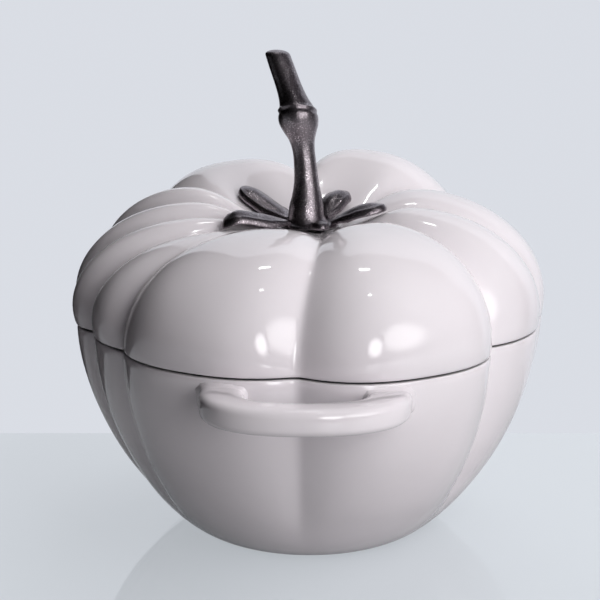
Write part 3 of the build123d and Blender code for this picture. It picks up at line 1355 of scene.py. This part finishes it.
@dataclass
class Studio:
    """Glossy table, backdrop, soft boxes, surround and camera, in metres."""

    form: LobedForm
    distance: float = 0.8
    rise: float = 14.2
    lens: float = 89.8
    sensor: float = 36.0
    frame_px: float = 600.0
    centre_px: tuple = (309.5, 319.0)
    table_half: float = 2.5
    table_back: float = 0.138
    table_front: float = -0.55
    table_lit: tuple = (0.42, 0.42, 0.43)
    table_seen: tuple = (0.20, 0.21, 0.22)
    table_glow: tuple = (0.42, 0.445, 0.475)
    table_gloss: float = 0.05
    table_mirror: float = 0.35
    wall_y: float = 1.6
    wall_x: tuple = (-0.62, 3.0)
    wall_z: tuple = (-1.5, 2.5)
    wall_dull: tuple = (0.05, 0.05, 0.05)
    pale: tuple = (0.70, 0.725, 0.78)
    fill_range: tuple = (-0.9, 0.9, 0.0, 0.12)
    fill_tint: tuple = (0.95, 0.90, 1.0)
    aim: tuple = (0, 0, 0.12)
    fade: float = 0.6
    lamps: tuple = (
        Lamp("key_right", (0.70, -0.62, 1.02), (0.8, 0.8), 8.6),
        Lamp("front_right", (0.78, -0.94, 0.45), (0.62, 0.6), 5.0),
        Lamp("front_low", (0.52, -1.13, 0.24), (0.4, 0.5), 2.2),
        Lamp("top_behind", (0.26, 0.6, 1.13), (0.8, 0.6), 5.4),
        Lamp("fill_behind", (0.05, 1.15, 0.42), (0.8, 0.6), 3.6),
        Lamp("strip_behind", (0.0, 0.16, 0.95), (0.12, 0.032), 0.21, True),
        Lamp("spark_above", (0.06, -0.26, 0.95), (0.05, 0.035), 0.08, True),
    )
    windows: tuple = (
        Window("window_right", (0.76, -0.98, 0.50), (1.15, 1.05), 3.0),
        Window("window_front", (0.27, -1.25, 0.32), (0.42, 0.8), 6.0),
    )

    def panel(self, name: str, corners: Sequence[Sequence[float]]) -> bpy.types.Object:
        """Adds a flat stage panel.

        Args:
            name: the panel's name.
            corners: its four corners, in order.

        Returns:
            The panel.
        """
        deselect()
        bpy.ops.mesh.primitive_plane_add(size=1.0)
        panel = bpy.context.object
        panel.name = name
        order = [corners[0], corners[1], corners[3], corners[2]]
        panel.data.vertices.foreach_set("co", [c for corner in order for c in corner])
        panel.data.update()
        return panel

    def table(self) -> None:
        """Adds the pale glossy table top, which ends just behind the pot."""
        half, front, back = self.table_half, self.table_front, self.table_back
        corners = [(-half, front, 0), (half, front, 0), (half, back, 0), (-half, back, 0)]
        top = self.panel("table_top", corners)
        n = Nodes("table_gloss")
        path = n.add("ShaderNodeLightPath")
        mirror = self.table_mirror * n.out(path, "Is Glossy Ray")
        seen = n.math("MAXIMUM", n.out(path, "Is Camera Ray"), mirror)
        n.feed(Base_Color=n.mix(seen, self.table_lit, self.table_seen), Roughness=self.table_gloss,
               Emission_Color=n.mix(seen, BLACK, self.table_glow), Emission_Strength=1.0)
        top.data.materials.append(n.material)

    def backdrop(self) -> None:
        """Adds a pale backdrop that shows to the camera and in gloss, and lights nothing."""
        (left, right), (low, high), y = self.wall_x, self.wall_z, self.wall_y
        wall = self.panel("backdrop", [(left, y, low), (right, y, low), (right, y, high), (left, y, high)])
        material = bpy.data.materials.new("backdrop_pale")
        material.use_nodes = True
        tree = material.node_tree
        tree.nodes.clear()
        glow = tree.nodes.new("ShaderNodeEmission")
        glow.inputs[0].default_value = (*self.pale, 1)
        dull = tree.nodes.new("ShaderNodeBsdfDiffuse")
        dull.inputs[0].default_value = (*self.wall_dull, 1)
        path = tree.nodes.new("ShaderNodeLightPath")
        either = tree.nodes.new("ShaderNodeMath")
        either.operation = "MAXIMUM"
        mix = tree.nodes.new("ShaderNodeMixShader")
        out = tree.nodes.new("ShaderNodeOutputMaterial")
        connect(tree, (
            (path.outputs["Is Camera Ray"], either.inputs[0]),
            (path.outputs["Is Glossy Ray"], either.inputs[1]),
            (either.outputs[0], mix.inputs[0]), (dull.outputs[0], mix.inputs[1]),
            (glow.outputs[0], mix.inputs[2]), (mix.outputs[0], out.inputs[0]),
        ))
        wall.data.materials.append(material)

    def softbox(self, box: Lamp) -> None:
        """Adds a rectangular area light that the camera doesn't see.

        Args:
            box: what the lamp is like.
        """
        deselect()
        bpy.ops.object.light_add(type="AREA", location=box.at)
        lamp = bpy.context.object
        lamp.name = box.name
        lamp.data.shape = "RECTANGLE"
        lamp.data.size, lamp.data.size_y = box.size
        lamp.data.energy = box.power
        lamp.visible_glossy = box.mirrored
        lamp.visible_camera = False
        lamp.rotation_euler = (Vector(self.aim) - Vector(box.at)).to_track_quat("-Z", "Y").to_euler()

    def glow(self, window: Window) -> None:
        """Adds a soft-edged panel that shows only in gloss.

        Args:
            window: what the panel is like.
        """
        deselect()
        turn = (Vector(self.aim) - Vector(window.at)).to_track_quat("Z", "Y").to_euler()
        bpy.ops.mesh.primitive_plane_add(size=2.0, location=window.at, rotation=turn)
        panel = bpy.context.object
        panel.name = window.name
        panel.scale = (window.size[0] / 2, window.size[1] / 2, 1)
        n = Nodes(window.name)
        middle = n.out(n.add("ShaderNodeTexGradient", {"Vector": n.place()}, gradient_type="SPHERICAL"), 1)
        n.feed(Base_Color=(*BLACK, 1), Specular_IOR_Level=0.0, Emission_Strength=window.level,
               Emission_Color=n.mix(n.ramp(middle, 0.0, self.fade), BLACK, WHITE_CLEAR))
        panel.data.materials.append(n.material)
        panel.visible_camera = panel.visible_diffuse = panel.visible_shadow = False

    def world(self) -> None:
        """Sets a surround that is dark on the left and pale on the right, and even for the camera."""
        world = bpy.data.worlds.new("studio_world")
        bpy.context.scene.world = world
        world.use_nodes = True
        tree = world.node_tree
        tree.nodes.clear()
        kinds = {"way": "ShaderNodeTexCoord", "split": "ShaderNodeSeparateXYZ", "side": "ShaderNodeMapRange",
                 "fill": "ShaderNodeBackground", "seen": "ShaderNodeBackground",
                 "path": "ShaderNodeLightPath", "mix": "ShaderNodeMixShader", "out": "ShaderNodeOutputWorld"}
        node = {name: tree.nodes.new(kind) for name, kind in kinds.items()}
        node["side"].interpolation_type = "SMOOTHSTEP"
        for number, value in enumerate(self.fill_range, 1):
            node["side"].inputs[number].default_value = value
        node["fill"].inputs[0].default_value = (*self.fill_tint, 1)
        node["seen"].inputs[0].default_value = (*self.pale, 1)
        connect(tree, (
            (node["way"].outputs["Generated"], node["split"].inputs[0]),
            (node["split"].outputs["X"], node["side"].inputs[0]),
            (node["side"].outputs[0], node["fill"].inputs[1]),
            (node["path"].outputs["Is Camera Ray"], node["mix"].inputs[0]),
            (node["fill"].outputs[0], node["mix"].inputs[1]),
            (node["seen"].outputs[0], node["mix"].inputs[2]),
            (node["mix"].outputs[0], node["out"].inputs[0]),
        ))

    def camera(self) -> None:
        """Adds the camera at the photograph's viewing angle."""
        a = math.radians(self.rise)
        target = Vector((0, 0, self.form.rim_z * MM))
        at = target + self.distance * Vector((0, -math.cos(a), math.sin(a)))
        deselect()
        bpy.ops.object.camera_add(location=at)
        cam = bpy.context.object
        cam.rotation_euler = (target - at).to_track_quat("-Z", "Y").to_euler()
        cam.data.sensor_width = self.sensor
        cam.data.lens = self.lens
        middle = self.frame_px / 2
        cam.data.shift_x = (middle - self.centre_px[0]) / self.frame_px
        cam.data.shift_y = (self.centre_px[1] - middle) / self.frame_px
        bpy.context.scene.camera = cam

    def build(self) -> None:
        """Sets the studio up."""
        self.table()
        self.backdrop()
        for box in self.lamps:
            self.softbox(box)
        for window in self.windows:
            self.glow(window)
        self.world()
        self.camera()
        bpy.context.scene.view_settings.view_transform = "Standard"


def main() -> None:
    """Builds every sub-assembly in order."""
    logging.basicConfig(level=logging.INFO)
    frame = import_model()
    finishes = Finishes()
    form = LobedForm()
    PotShell(form, finishes).build()
    LidShell(form, finishes).build()
    Stem(form, finishes).build()
    Calyx(form, finishes).build()
    dress_node(frame, "seat_washer", finishes.silicone)
    for node in ("flat_washer", "lock_washer", "knob_screw"):
        dress_node(frame, node, finishes.steel)
    Studio(form).build()


if __name__ == "__main__":
    main()
